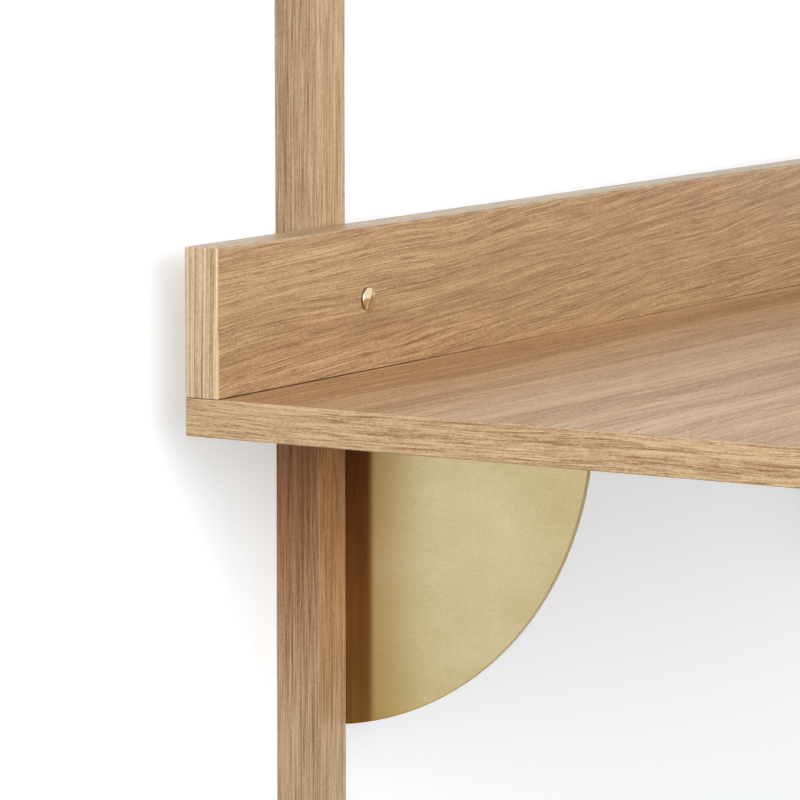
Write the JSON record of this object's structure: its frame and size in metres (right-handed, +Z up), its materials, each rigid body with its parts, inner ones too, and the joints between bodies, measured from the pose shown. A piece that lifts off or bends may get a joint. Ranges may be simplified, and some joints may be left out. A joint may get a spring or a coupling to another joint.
{
  "type": "wall desk",
  "caption": "Wall-hung desk: veneered oak top with a low upstand along its back, screwed to square wall rails and carried by quarter-circle brass plate brackets.",
  "frame": {"origin": "on the wall plane, at the centre of the four wall screw holes, midway between the rails", "axes": "+X to the right along the wall, +Y into the wall, +Z up"},
  "size_m": [0.9, 0.45, 0.7],
  "materials": {
    "rail_oak": "solid oak, satin lacquer",
    "desktop_veneer": "oak veneer, satin lacquer",
    "upstand_veneer": "oak veneer, satin lacquer",
    "edge_band": "oak edge band, satin lacquer",
    "board_core": "fibreboard, bare",
    "bracket_brass": "brushed, matte",
    "screw_brass": "polished",
    "screw_steel": "zinc plated",
    "dowel_beech": "bare beech"
  },
  "bodies": {
    "root": {"left_rail": "rail_oak", "right_rail": "rail_oak", "left_bracket": "bracket_brass", "right_bracket": "bracket_brass", "desktop_core": "board_core", "desktop_top_veneer": "desktop_veneer", "desktop_bottom_veneer": "desktop_veneer", "desktop_left_band": "edge_band", "desktop_right_band": "edge_band", "desktop_front_band": "edge_band", "desktop_back_band": "edge_band", "upstand_core": "board_core", "upstand_front_veneer": "upstand_veneer", "upstand_back_veneer": "upstand_veneer", "upstand_top_band": "edge_band", "upstand_left_band": "edge_band", "upstand_right_band": "edge_band", "upstand_dome_screws": "screw_brass", "bracket_rail_screws": "screw_brass", "bracket_flange_screws": "screw_brass", "upstand_base_screws": "screw_steel", "upstand_dowels": "dowel_beech"}
  },
  "joints": []
}
